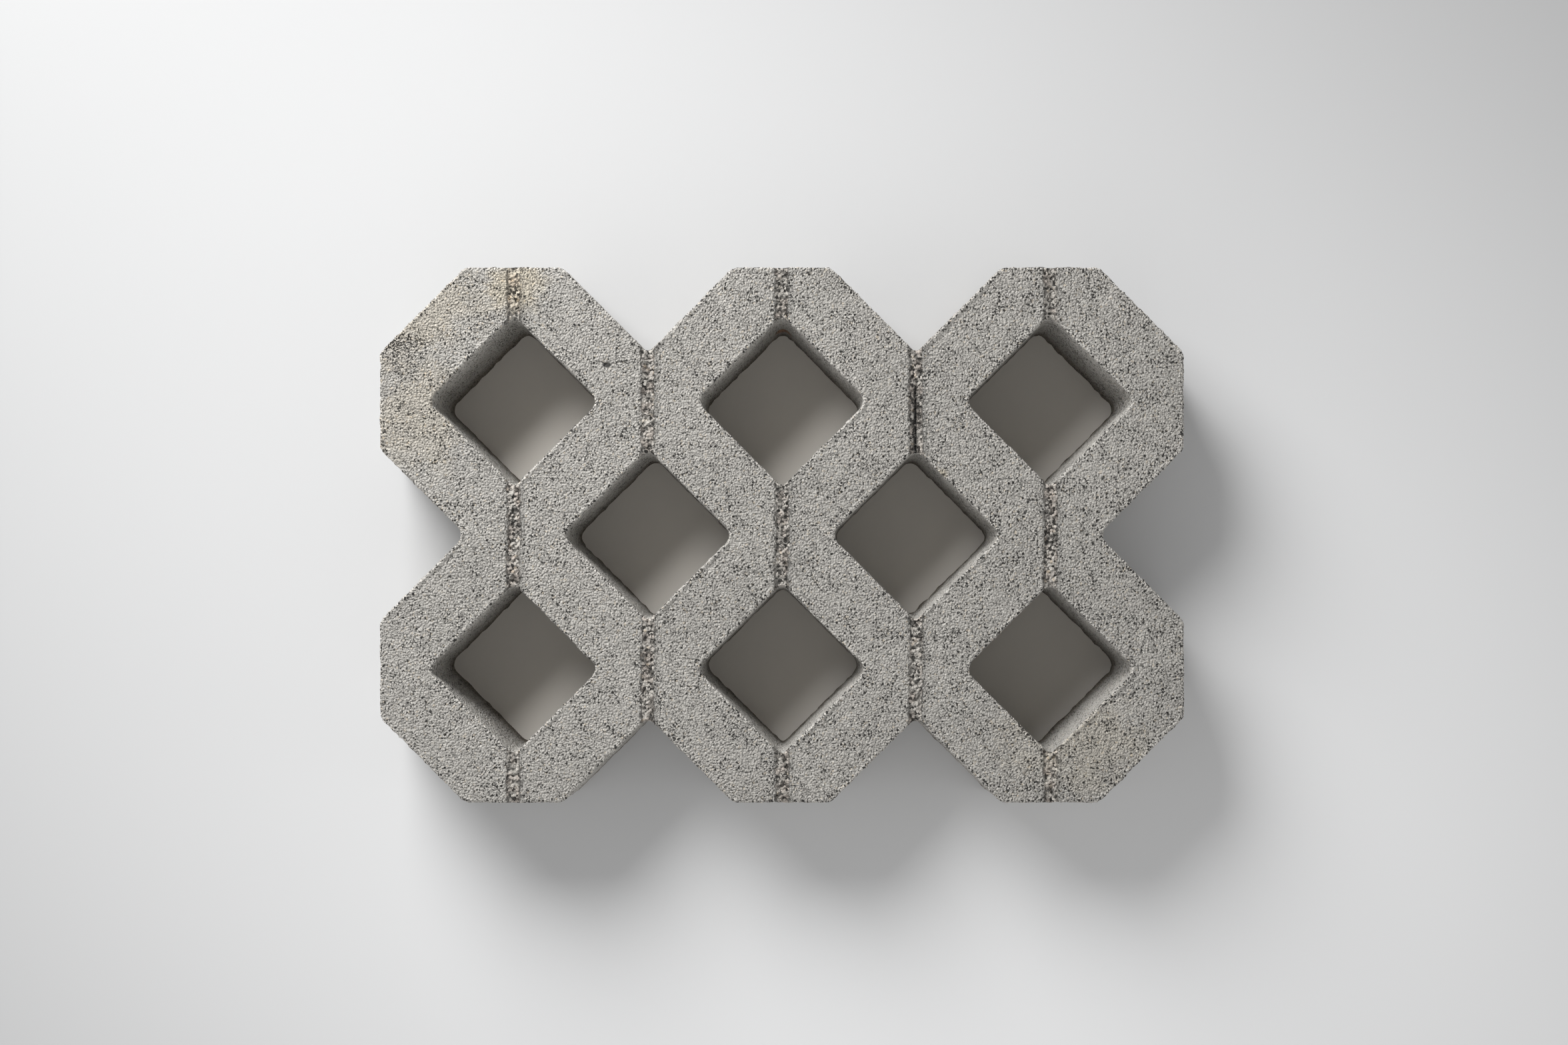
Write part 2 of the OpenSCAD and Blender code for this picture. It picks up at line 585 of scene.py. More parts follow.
def with_middles(values):
    """Values round a closed loop, with the mean of each pair of neighbours put between them."""
    means = (values + np.roll(values, -1, axis=-1)) / 2
    return np.stack([values, means], axis=-1).reshape(*values.shape[:-1], -1)


def split_beside(faces, starts, stops, middles):
    """Split each face on an edge start-stop into a fan of triangles round the edge's middle."""
    size = middles.max() + 1
    keys = np.minimum(starts, stops) * size + np.maximum(starts, stops)
    order = np.argsort(keys)
    for _ in range(2):
        ahead = np.roll(faces, -1, axis=1)
        wanted = np.minimum(faces, ahead) * size + np.maximum(faces, ahead)
        found = np.minimum(np.searchsorted(keys, wanted, sorter=order), len(keys) - 1)
        hit = keys[order[found]] == wanted
        row = np.flatnonzero(hit.any(axis=1))
        edge = hit[row].argmax(axis=1)
        ring = faces[row[:, None], (edge[:, None] + np.arange(4)) % 4]
        hub = middles[order[found[row, edge]]]
        fan = []
        for k in (1, 2, 3):
            after = ring[:, (k + 1) % 4]
            fan.append(np.stack([hub, ring[:, k], after, after], axis=1))
        fan = np.concatenate(fan)
        fan = fan[fan[:, 1] != fan[:, 2]]
        faces = np.concatenate([np.delete(faces, row, axis=0), fan])
    return faces


top_used, top_faces = sheet_nodes(top_faces)
top_i, top_j = np.divmod(top_used, len(LINES))
x, y = plan(top_i, top_j, 0.0)
rim_loops = []
for nodes in loops:
    on_grid = np.searchsorted(top_used, grid_number(nodes))
    between = len(x) + np.arange(len(on_grid))
    x = np.append(x, with_middles(x[on_grid])[1::2])
    y = np.append(y, with_middles(y[on_grid])[1::2])
    rim_loops.append(np.stack([on_grid, between], axis=1).ravel())
starts = np.concatenate([rim[::2] for rim in rim_loops])
stops = np.concatenate([np.roll(rim[::2], -1) for rim in rim_loops])
middles = np.concatenate([rim[1::2] for rim in rim_loops])
top_faces = split_beside(top_faces, starts, stops, middles)
print(f"{len(middles)} more nodes on the rims")

# %% Points of the wearing face
CHIP_SHADE = (1.2, 2.5 * MM)
RIM_FOLLOWS_WALL = 1.3 * MM
to_rim = np.clip(np.minimum(*rim_distance(x, y, 0.0)), 0, None)
height = face_height(x, y, to_rim)
top_seam = seam_offset(x, y)
top_groove = groove_profile(x, y, top_seam)
chip_shade = pits(at_level(x, y), *RIM_CHIPS) * fade(to_rim, *CHIP_SHADE)
top_pits = np.maximum(np.maximum(*face_pits(at_level(x, y))), chip_shade)
relief = fade(to_rim, wall_relief(at_level(x, y, HEIGHT), 0.0), RIM_FOLLOWS_WALL)
x, y = push(x, y, 0.0, relief)
top_points = at_level(x, y, np.minimum(HEIGHT - HEADROOM + height, HEIGHT))
print(f"{len(top_points)} points on the wearing face, {np.ptp(height) / MM:.1f} mm of relief")

# %% Points of the bed, the face that the block lies on
DENTS = (12 * MM, 5 * MM, 0.4, 60)
DENT_DEPTH = 0.8 * MM
BED_FOLLOWS_WALL = 3 * MM
bed_used, bed_faces = sheet_nodes(bed_faces)
bed_i, bed_j = np.divmod(bed_used, len(LINES))
x, y = plan(bed_i, bed_j, HEIGHT)
flat_points = at_level(x, y)
bed_distance = np.clip(np.minimum(*rim_distance(x, y, HEIGHT)), 0, None)
near_rim = fade(bed_distance, 1.0, BED_FOLLOWS_WALL)
x, y = push(x, y, HEIGHT, wall_relief(flat_points, HEIGHT) * near_rim)
dents = pits(flat_points, *DENTS) * DENT_DEPTH
bed_points = at_level(x, y, dents * (1 - near_rim))
print(f"{len(bed_points)} points on the bed")

# %% [markdown]
# ## Walls
#
# A wall is a grid too: the loop's nodes one way, levels of depth the other. The first
# levels are close together and use every node, for the worn and nibbled rim. Further
# down every second node is enough, and then every fourth. Where the count halves, three
# triangles join two upper edges to one lower edge.

# %% Levels of the walls, with the step between the nodes that each of them uses
LEVELS = [(0.5 * MM, 1), (1.1 * MM, 1), (2.2 * MM, 2), (3.8 * MM, 2)]
LEVELS += [(depth, 4) for depth in np.linspace(7 * MM, HEIGHT, 11)[:-1]]
RIM_DRAWS_OVER = 3 * MM


def wall_points(nodes, depth, rim_height):
    """Points round a loop at one depth. A high or low rim draws the levels below it along."""
    x, y = (with_middles(c) for c in plan(nodes[:, 0], nodes[:, 1], depth))
    level = at_level(x, y, HEIGHT - depth)
    x, y = push(x, y, depth, wall_relief(level, depth))
    drawn = fade(depth, rim_height - HEIGHT, RIM_DRAWS_OVER)
    return at_level(x, y, HEIGHT - depth + drawn)


def strip(upper, lower):
    """Faces between two rows of node numbers; the lower row has as many nodes, or half."""
    below, below_next = lower, np.roll(lower, -1)
    if len(upper) == len(lower):
        return np.stack([upper, below, below_next, np.roll(upper, -1)], axis=1)
    left, mid, right = upper[::2], upper[1::2], np.roll(upper[::2], -1)
    triangles = [
        (left, below, mid, mid),
        (mid, below, below_next, below_next),
        (mid, below_next, right, right),
    ]
    return np.concatenate([np.stack(corners, axis=1) for corners in triangles])


# %% Join wearing face, walls and bed into one closed surface
points = [top_points, bed_points]
wall_faces = []
count = len(top_points) + len(bed_points)
for nodes, rim in zip(loops, rim_loops):
    rim_height = top_points[rim, 2]
    row = rim
    for depth, every in LEVELS:
        level_points = wall_points(nodes, depth, rim_height)[::every]
        below = count + np.arange(len(level_points))
        wall_faces.append(strip(row, below))
        points.append(level_points)
        row, count = below, count + len(level_points)
    foot = np.searchsorted(bed_used, grid_number(nodes[::COARSE]))
    wall_faces.append(strip(row, len(top_points) + foot))

points = np.concatenate(points)
points = np.clip(points, [-HALF_L, -HALF_W, 0], [HALF_L, HALF_W, HEIGHT])
wall_faces = np.concatenate(wall_faces)
bed_faces = bed_faces[:, ::-1] + len(top_points)
print(f"{len(wall_faces)} wall faces")


# %% Put the arrays into one mesh
SEAM_MARGIN = 5 * MM
SHARP_FROM = 52
TOP, WALL, BED, BESIDE_SEAM = range(4)


def mesh_from(name, points, faces):
    """A mesh from point and face arrays. A face that repeats a corner is a triangle."""
    corners = [list(dict.fromkeys(face)) for face in faces.tolist()]
    mesh = bpy.data.meshes.new(name)
    mesh.from_pydata(points, [], corners)
    mesh.polygons.foreach_set("use_smooth", np.ones(len(faces), dtype=bool))
    return mesh


all_faces = np.concatenate([top_faces, wall_faces, bed_faces])
kind = np.repeat([TOP, WALL, BED], [len(top_faces), len(wall_faces), len(bed_faces)])
beside_seam = (np.abs(top_seam)[top_faces] < SEAM_HALF + SEAM_MARGIN).any(axis=1)
kind[:len(top_faces)][beside_seam] = BESIDE_SEAM
paver_mesh = mesh_from("cast_block", points, all_faces)
paver_mesh.polygons.foreach_set("material_index", kind)
paver_mesh.update()
paver_mesh.set_sharp_from_angle(angle=np.radians(SHARP_FROM))
paver = bpy.data.objects.new("cast_block", paver_mesh)
bpy.context.scene.collection.objects.link(paver)
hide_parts("paver_block")
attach(paver, "root")
paver_mesh.calc_loop_triangles()
print(f"{len(paver_mesh.loop_triangles)} triangles")

# %% [markdown]
# ## Surface values for the finish
#
# The finish has to know where it is: how far from a rim, how far from a seam, how deep in
# a pit. The arrays above already hold that, so each is written on the mesh as an
# attribute. Distances change evenly from point to point, so a material can draw details
# from them that are much finer than the mesh.


# %% Write the attributes
def write_attribute(mesh, name, values):
    """One number per point, which a material reads by name."""
    attribute = mesh.attributes.new(name, "FLOAT", "POINT")
    attribute.data.foreach_set("value", values.astype(np.float32))
    print(f"attribute {name}: {values.min():.4f} to {values.max():.4f}")


elsewhere = np.zeros(len(points) - len(top_points))
for name, values in (
    ("rim_distance", to_rim),
    ("seam_offset", top_seam),
    ("groove", top_groove),
    ("pit_depth", top_pits),
):
    write_attribute(paver_mesh, name, np.append(values, elsewhere))

# %% [markdown]
# ## How the materials are written
#
# A material is a tree of small nodes, and a link takes an output of one node to an input
# of another. Here a `Wire` stands for such an output. It can be added and multiplied like
# a number, and each sign makes one Math node, so that a formula in the tree reads like a
# formula. `add` makes any other node, and `feed` fills the inputs of one. What several
# materials share is a node group, with named inputs and outputs, so that each material
# can place it with values of its own.
#
# Here too values stand in rows: size, detail and roughness for noise, with the swing in
# front where it sways a line; two limits, and the results at them, for a ramp.


# %% A node's output, for use in formulas
class Wire:
    """An output of a node. Arithmetic on it makes Math nodes in the same tree."""

    def __init__(self, socket):
        self.socket = socket
        self.tree = socket.id_data

    def also(self, name):
        """Another output of the same node, by name or number."""
        return Wire(self.socket.node.outputs[name])

    def __add__(self, other):
        return calc("ADD", self, other)

    def __sub__(self, other):
        return calc("SUBTRACT", self, other)

    def __rsub__(self, other):
        return calc("SUBTRACT", other, self)

    def __mul__(self, other):
        return calc("MULTIPLY", self, other)

    def __truediv__(self, other):
        return calc("DIVIDE", self, other)

    def __rtruediv__(self, other):
        return calc("DIVIDE", other, self)

    def __lt__(self, other):
        return calc("LESS_THAN", self, other)

    def __abs__(self):
        return calc("ABSOLUTE", self)

    __radd__ = __add__
    __rmul__ = __mul__


# %% Add nodes and fill their inputs
def feed(node, wires):
    """Fill inputs, found by name or number: a wire is linked, and anything else is set."""
    for name, value in wires.items():
        target = node.inputs[name]
        if isinstance(value, Wire):
            value.tree.links.new(value.socket, target)
        elif target.type == "RGBA":
            target.default_value = (*value, 1)
        else:
            target.default_value = value


def add(tree, kind, wires=None, **settings):
    """Add a node with its settings, fill its inputs and give its first output."""
    node = tree.nodes.new("ShaderNode" + kind)
    for name, value in settings.items():
        setattr(node, name, value)
    feed(node, wires or {})
    return Wire(node.outputs[0])


def tree_of(*terms):
    """The tree of the first wire among some terms."""
    return next(term.tree for term in terms if isinstance(term, Wire))


def calc(operation, *terms, kind="Math"):
    """One step of arithmetic on wires and numbers, or on vectors if the kind is VectorMath."""
    return add(tree_of(*terms), kind, dict(enumerate(terms)), operation=operation)


def largest(first, *others):
    """The largest of some wires and numbers."""
    for other in others:
        first = calc("MAXIMUM", first, other)
    return first


# %% Vectors, colours and noise
def scale(vector, factor):
    """A vector or colour times a number."""
    wires = {0: vector, "Scale": factor}
    return add(tree_of(vector, factor), "VectorMath", wires, operation="SCALE")


def split(vector):
    """The three parts of a vector or colour."""
    first = add(vector.tree, "SeparateXYZ", {0: vector})
    return first, first.also(1), first.also(2)


def distance_from(place, middle, reach=(1, 1, 1)):
    """How far a place is from a middle, as the length of (place - middle) / reach."""
    away = calc("SUBTRACT", place, middle, kind="VectorMath")
    away = calc("DIVIDE", away, reach, kind="VectorMath")
    return calc("LENGTH", away, kind="VectorMath").also("Value")


def ramp(value, low, high, out_low=0.0, out_high=1.0):
    """Goes smoothly from out_low to out_high as value goes from low to high."""
    wires = {"Value": value, "From Min": low, "From Max": high}
    wires |= {"To Min": out_low, "To Max": out_high}
    return add(value.tree, "MapRange", wires, interpolation_type="SMOOTHSTEP")


def fall(value, start, stop):
    """1 up to start, 0 from stop on, and smooth between them."""
    return ramp(value, start, stop, 1.0, 0.0)


def lerp(factor, first, second):
    """first + factor x (second - first)."""
    return first + (second - first) * factor


FACTOR, FIRST, SECOND, MIXED = 0, 6, 7, 2


def blend(factor, first, second, mode="MIX"):
    """Mix two colours: 0 gives the first, 1 the second."""
    wires = {FACTOR: factor, FIRST: first, SECOND: second}
    tree = tree_of(factor, first, second)
    return add(tree, "Mix", wires, data_type="RGBA", blend_type=mode).also(MIXED)


def noise_of(place, size, detail=2.0, roughness=0.5, **settings):
    """Noise from 0 to 1, with patches of about `size` in the units of `place`."""
    wires = {"Vector": place, "Scale": 1 / size, "Detail": detail, "Roughness": roughness}
    return add(place.tree, "TexNoise", wires, **settings)


def patches(place, noise_row, ramp_row):
    """Noise of a size, detail and roughness, put through a ramp."""
    return ramp(noise_of(place, *noise_row), *ramp_row)


def sway(place, swing, *noise_row):
    """Noise around 0 that reaches half the swing to either side at most."""
    return (noise_of(place, *noise_row) - 0.5) * swing


# %% Node groups
KINDS = {1: "NodeSocketFloat", 3: "NodeSocketVector", 4: "NodeSocketColor"}
NUMBER, PLACE, COLOUR = 0.0, (0, 0, 0), (1, 1, 1, 1)


def named(sockets):
    """A wire for each output, by its name."""
    return {socket.name: Wire(socket) for socket in sockets}


def new_group(name, inputs, outputs):
    """A node group, from a default for each of its inputs and outputs.

    One number makes a value, three make a vector and four a colour. Gives the group's
    tree, its inputs as wires, and the node that its results are fed to.
    """
    tree = bpy.data.node_groups.new(name, "ShaderNodeTree")
    for side, sockets in (("INPUT", inputs), ("OUTPUT", outputs)):
        for label, default in sockets.items():
            kind = KINDS[np.size(default)]
            socket = tree.interface.new_socket(label, in_out=side, socket_type=kind)
            socket.default_value = default
    take = tree.nodes.new("NodeGroupInput").outputs
    return tree, named(take), tree.nodes.new("NodeGroupOutput")


def place_group(group, **wires):
    """Put a group into the tree that its Vector comes from, and give its outputs by name."""
    first = add(wires["Vector"].tree, "Group", wires, node_tree=group)
    return named(first.socket.node.outputs)


# %% [markdown]
# ## Packed grains
#
# Dry-cast concrete is sand and crushed stone held by a film of cement. Close up it is a
# bed of rounded grains with dark gaps between some of them. Voronoi cells make grains:
# the distance from a cell's middle gives each one a dome, and the cell's random colour
# gives each one its own tone. The position is shaken first, so that the cells lose their
# straight borders, and noise of the same size makes some grains sink and others stand
# out. Dark holes come in two ways: where the mix is packed badly, the lowest places are
# gaps, and a larger grain is missing here and there, most often in the same places.
#
# Heights are in grain sizes, so a coarser grain brings a rougher surface with it.

# %% Proportions of packed grains, with the grain as the unit of length
SHAKE_SIZE = 1 / 1.15
SHAKE = 0.77
SINKING = (1.0, 1.5, 0.6)
PACKING = (1 / 0.09, 3.0, 0.6)
LUMP_SIZE = 1 / 0.8
DOME_TOP = 0.7
DOME_FALL = 1.2
SINK = 1.2
GAPS_BELOW = 1.07
GAPS_VARY = 0.8
HOLE_BORDER = (-0.07, 0.05)
MISSING_APART = 1 / 0.36
MISSING_SIZE = (0.08, 0.20)
MISSING_SHARE = 1.38
MISSING_VARY = 2.4
MISSING_WHERE_LOOSE = 3.0
GRAIN_RELIEF = 0.5
LUMP_RELIEF = 1.8
HOLE_RELIEF = 0.6


# %% Group: packed grains
def make_packed_grains(name, dimensions):
    """The group for a flat face, in two dimensions, or for walls, in three.

    dome = top - fall x distance^2, and grains = dome + noise. A gap is where the grains lie
    below a level, which is higher where the mix is loose. A grain is missing where the
    distance from the middle of a much larger cell is below a random size.
    """
    inputs = {"Vector": PLACE, "Grain": 1.4 * MM, "Looseness": NUMBER}
    outputs = {"Height": NUMBER, "Tone": NUMBER, "Gap": NUMBER}
    tree, take, give = new_group(name, inputs, outputs)
    place = scale(take["Vector"], 1 / take["Grain"])
    loose = take["Looseness"]
    flat = {"noise_dimensions": dimensions}
    shake = noise_of(place, SHAKE_SIZE, 1.0, **flat).also("Color")
    shaken = calc("ADD", place, scale(shake, SHAKE), kind="VectorMath")

    def cells_of(size):
        """Distance from a cell's middle, and three random numbers for the cell."""
        wires = {"Vector": shaken, "Scale": 1 / size}
        away = add(tree, "TexVoronoi", wires, voronoi_dimensions=dimensions)
        return away, *split(away.also("Color"))

    away, tone, _, _ = cells_of(1.0)
    grains = DOME_TOP - away * away * DOME_FALL + noise_of(place, *SINKING, **flat) * SINK
    packing = noise_of(place, *PACKING, **flat)
    gap = fall(grains - (loose + GAPS_BELOW - packing * GAPS_VARY), *HOLE_BORDER)

    away, random_size, random_chance, _ = cells_of(MISSING_APART)
    size = MISSING_SIZE[0] + random_size * MISSING_SIZE[1]
    share = MISSING_SHARE + loose * MISSING_WHERE_LOOSE - packing * MISSING_VARY
    hole = fall(away - size, *HOLE_BORDER) * (random_chance < share)

    lumps = noise_of(place, LUMP_SIZE, 0.5, **flat)
    height = grains * GRAIN_RELIEF + lumps * LUMP_RELIEF - hole * HOLE_RELIEF
    feed(give, {"Height": height, "Tone": tone, "Gap": largest(gap, hole)})
    return tree


flat_grains = make_packed_grains("packed grains, flat", "2D")
solid_grains = make_packed_grains("packed grains, solid", "3D")
print(f"packed grains: {len(flat_grains.nodes)} nodes")

# %% [markdown]
# ## Pores
#
# Air holes are round bowls, each of its own size, at random places and far apart.

# %% Group: pores
SMALLEST_PORE = 0.3


def make_pores(name, dimensions):
    """The group for a flat face, in two dimensions, or for walls, in three.

    Depth = 1 - (distance from the middle / radius)^2, and nothing outside the radius.
    """
    inputs = {"Vector": PLACE, "Spacing": 9 * MM, "Radius": 1.2 * MM, "Share": 0.4}
    tree, take, give = new_group(name, inputs, {"Depth": NUMBER})
    wires = {"Vector": take["Vector"], "Scale": 1 / take["Spacing"]}
    away = add(tree, "TexVoronoi", wires, voronoi_dimensions=dimensions)
    random_size, random_chance, _ = split(away.also("Color"))
    radius = take["Radius"] * (SMALLEST_PORE + random_size * (1 - SMALLEST_PORE))
    part = away * take["Spacing"] / radius
    feed(give, {"Depth": largest(1 - part * part, 0.0) * (random_chance < take["Share"])})
    return tree


flat_pores = make_pores("pores, flat", "2D")
solid_pores = make_pores("pores, solid", "3D")
print(f"pores: {len(flat_pores.nodes)} nodes")

# %% [markdown]
# ## Sand colour
#
# Every grain has its own tone. Most are the grey of the cement film, some are pale
# quartz, some are dark stone, and a few are brown. Clouds of a slightly different grey,
# several centimetres wide, come from uneven moisture in the mix. Gaps, pores and pits are
# darkened in the colour: painted shade, since little light gets out of them, and some real
# dirt in them.

# %% Group: sand colour
CLOUDS = ((70 * MM, 3.0, 0.55), (0.3, 0.7, 0.96, 1.04))
DARKEST = 0.9
DARK_STONE = (0.50, 0.50, 0.50)
PALEST = (1.35, 1.35, 1.34)
TONES_BETWEEN = [
    (0.12, (0.80, 0.795, 0.79)),
    (0.35, (0.96, 0.96, 0.96)),
    (0.60, (1.03, 1.03, 1.03)),
    (0.90, (1.13, 1.13, 1.125)),
    (0.93, (1.12, 1.02, 0.88)),
    (0.96, (1.20, 1.20, 1.20)),
]
inputs = {"Vector": PLACE, "Base": COLOUR, "Tone": 0.5, "Contrast": 1.0, "Dark": NUMBER}
sand_colour, take, give = new_group("sand colour", inputs, {"Color": COLOUR})
cloud_gain = patches(take["Vector"], *CLOUDS)
tones = add(sand_colour, "ValToRGB", {0: take["Tone"]})
stops = tones.socket.node.color_ramp.elements
stops[0].color = (*DARK_STONE, 1)
stops[1].color = (*PALEST, 1)
for position, tone in TONES_BETWEEN:
    stops.new(position).color = (*tone, 1)
toned = blend(take["Contrast"], (1, 1, 1), tones)
colour = blend(1.0, take["Base"], toned, "MULTIPLY")
# Painted shade: the colour darkens where a gap, pore or pit is
feed(give, {"Color": scale(colour, (1 - take["Dark"] * DARKEST) * cloud_gain)})
print(f"sand colour: {len(stops)} tones of grain")

# %% [markdown]
# ## Stains
#
# A stain is a patch with a ragged border: the distance from its middle, measured in its
# own widths, plus noise. It tints the concrete it lies on, so its colour multiplies.

# %% Group: stain
RAGGEDNESS = 1.8
STAIN_NOISE = (4.0, 0.65)
STAIN_BORDER = (0.4, 1.15)
inputs = {
    "Color": COLOUR,
    "Vector": PLACE,
    "Middle": PLACE,
    "Reach": (30 * MM, 30 * MM, 30 * MM),
    "Tint": COLOUR,
    "Strength": 1.0,
    "Patch": 22 * MM,
}
stain, take, give = new_group("stain", inputs, {"Color": COLOUR, "Mask": NUMBER})
ragged = sway(take["Vector"], RAGGEDNESS, take["Patch"], *STAIN_NOISE)
away = distance_from(take["Vector"], take["Middle"], take["Reach"]) + ragged
mask = fall(away, *STAIN_BORDER) * take["Strength"]
tinted = blend(1.0, take["Color"], take["Tint"], "MULTIPLY")
feed(give, {"Color": blend(mask, take["Color"], tinted), "Mask": mask})
print(f"stain: {len(stain.nodes)} nodes")

# %% [markdown]
# The block has stood outdoors. Its left end has beige and sandy patches and a faint
# greenish one, one corner is a little warmer, and rust has run down one wall.

# %% Stains of a block that was stored outdoors
BEIGE = (1.07, 1.03, 0.955)
SAND = (1.13, 1.06, 0.92)
MOSS = (0.98, 0.96, 0.93)
RUST = (0.80, 0.50, 0.36)
WARM = (1.04, 1.01, 0.95)
LEFT_END = -HALF_L
BACK = HALF_W
FACE_STAINS = [
    ((LEFT_END + 38 * MM, BACK - 28 * MM), (52 * MM, 34 * MM), BEIGE, 0.9),
    ((-2 * STEP + 2 * MM, BACK - 16 * MM), (26 * MM, 22 * MM), SAND, 0.85),
    ((LEFT_END + 30 * MM, 0.9 * STEP), (48 * MM, 42 * MM), BEIGE, 0.8),
    ((LEFT_END + 14 * MM, 1.37 * STEP), (26 * MM, 20 * MM), MOSS, 0.9),
    ((1.19 * STEP, 0.46 * STEP), (6 * MM, 5 * MM), SAND, 0.9),
    ((2.2 * STEP, -1.55 * STEP), (60 * MM, 40 * MM), WARM, 0.8),
]
FACE_THICKNESS = 50 * MM


def add_stains(place, colour, stains, level=HEIGHT, thickness=FACE_THICKNESS):
    """Lay the stains over a colour, one after another, all round the same level."""
    for middle, reach, tint, strength in stains:
        where = {"Middle": (*middle, level), "Reach": (*reach, thickness)}
        laid = place_group(stain, Color=colour, Vector=place, **where, Tint=tint, Strength=strength)
        colour = laid["Color"]
    return colour


print(f"{len(FACE_STAINS)} stains on the wearing face")

# %% [markdown]
# ## The rammed face
#
# Fine grains lie everywhere, and coarse loose ones along the seams, with brown sand in
# places. The rims are painted a little paler, as a painted highlight. A seam's strip has
# ragged borders and lies a small step down, which the bump draws from the distance to the
# seam. The coarse grains are only worked out on faces beside a seam, which have a material
# of their own. Both materials give the same where they meet.
#
# Towards the right end the mix is made looser and looser: its extra dark gaps are painted
# shade, which keeps the grain's contrast where the lamp's relief shading is weaker, and the
# colour is made paler there to keep its mean. At the left end one patch is loose, an air
# hole has stayed open, and a hairline crack runs from it across a seam.


# %% A matt material, and what goes to its shader
def new_material(name, roughness=0.92, specular=0.25):
    """A matt material, its shader, and the place on the piece as a wire."""
    material = bpy.data.materials.new(name)
    material.use_nodes = True
    shader = material.node_tree.nodes["Principled BSDF"]
    feed(shader, {"Roughness": roughness, "Specular IOR Level": specular})
    return material, shader, add(material.node_tree, "TexCoord").also("Object")


def attribute_of(tree, name):
    """A value that was written on the mesh."""
    return add(tree, "Attribute", attribute_name=name).also("Fac")


def connect(shader, colour, height_mm):
    """Colour and relief, whose height is in millimetres, go to the shader."""
    bump = add(colour.tree, "Bump", {"Height": height_mm, "Distance": MM, "Strength": 1.0})
    feed(shader, {"Base Color": colour, "Normal": bump})


# %% The hairline crack
CRACK_X = -0.95 * STEP
CRACK_Y = 1.285 * STEP
CRACK_HALF = 0.38 * STEP
CRACK_FADES_OVER = 9 * MM
CRACK_WAVES = (9 * MM, 7 * MM, 3.0, 0.6)
CRACK_BORDER = (0.1 * MM, 0.75 * MM)
CRACK_SHOWS = ((6 * MM, 2.0), (0.44, 0.56))


def crack_mask(place):
    """1 on a hairline crack that runs from the air hole across the nearest seam."""
    along, across, _ = split(place)
    across = across + sway(place, *CRACK_WAVES)
    line = fall(abs(across - CRACK_Y), *CRACK_BORDER)
    ends = fall(abs(along - CRACK_X), CRACK_HALF - CRACK_FADES_OVER, CRACK_HALF)
    return line * patches(place, *CRACK_SHOWS) * ends


# %% Lines along a seam: the middle, and the half widths within which it is full and fades
STRIP = (0.0, SEAM_HALF - 0.6 * MM, SEAM_HALF + 0.4 * MM)
LEFT_LINE = (0.5 * MM - SEAM_HALF, 0.2 * MM, 1.3 * MM)
RIGHT_LINE = (SEAM_HALF, 0.1 * MM, 0.9 * MM)
RIDGE = (SEAM_HALF + 1.2 * MM, 0.2 * MM, 1.5 * MM)
SEAM_RAGGED = (8 * MM, 4 * MM, 4.0, 0.75)
LEFT_SHOWS = ((5 * MM, 2.0), (0.40, 0.54))
RIGHT_SHOWS = ((5 * MM, 2.0), (0.62, 0.42))


def seam_masks(place, offset):
    """Masks of the strip, of the dark lines along it and of the low ridge on one side. The lines
    also dip a little, and the left one's darkness is a painted shadow.
    """
    shifted = offset + sway(place, *SEAM_RAGGED)

    def line_at(middle, full, gone):
        """1 within `full` of a line along the seam, and 0 beyond `gone`."""
        return fall(abs(shifted - middle), full, gone)

    left = line_at(*LEFT_LINE) * patches(place, *LEFT_SHOWS)
    right = line_at(*RIGHT_LINE) * patches(place, *RIGHT_SHOWS)
    return line_at(*STRIP), largest(left, right), line_at(*RIDGE)


# %% The coarse strip along a seam: grain and heights are in millimetres
FACE_COLOUR = (0.343, 0.330, 0.307)
SEAM_COLOUR = (0.375, 0.354, 0.323)
SEAM_BROWN = (0.348, 0.314, 0.281)
BROWN = ((8 * MM, 2.0), (0.46, 0.62))
COARSE_GRAIN = 2.1
COARSE_LOOSENESS = 0.16
STEP_DOWN = 1.8
RIDGE_HEIGHT = 0.8
CAVES = ((4.5 * MM, 2.0, 0.6), (0.50, 0.62, 0.0, 0.75))
GROOVE_DARK = ((2.2 * MM, 2.0, 0.6), (0.25, 0.5, 0.4, 0.85))
LINE_DARK = 0.7


def lay_strip(place, height, gap, tone):
    """The height, gap, tone and colour of a face with the coarse strip laid over it."""
    inside, furrow, ridge = seam_masks(place, attribute_of(place.tree, "seam_offset"))
    grain = {"Grain": COARSE_GRAIN * MM, "Looseness": COARSE_LOOSENESS}
    coarse = place_group(flat_grains, Vector=place, **grain)
    height = lerp(inside, height, coarse["Height"] * COARSE_GRAIN - STEP_DOWN)
    height = height + ridge * RIDGE_HEIGHT - furrow
    caves = patches(place, *CAVES) * inside
    groove = patches(place, *GROOVE_DARK) * attribute_of(place.tree, "groove")
    # Painted shade in the strip's caves and groove, a painted shadow along its left border, and a
    # darker line along its right border
    gap = largest(lerp(inside, gap, coarse["Gap"]), caves, furrow * LINE_DARK, groove)
    sand = blend(patches(place, *BROWN), SEAM_COLOUR, SEAM_BROWN)
    base = blend(inside, FACE_COLOUR, sand)
    return height, gap, lerp(inside, tone, coarse["Tone"]), base


# %% Materials of the rammed face: grain, height and depth are in millimetres
FINE_GRAIN = 1.25
FACE_CONTRAST = 0.9
COARSE_PATCH = {
    "Middle": (14 * MM - HALF_L, 1.37 * STEP, HEIGHT),
    "Reach": (20 * MM, 18 * MM, FACE_THICKNESS),
    "Patch": 9 * MM,
}
PATCH_LOOSENESS = 0.28
RIM_LOOSENESS = (0.5 * MM, 4 * MM, 0.16, 0.0)
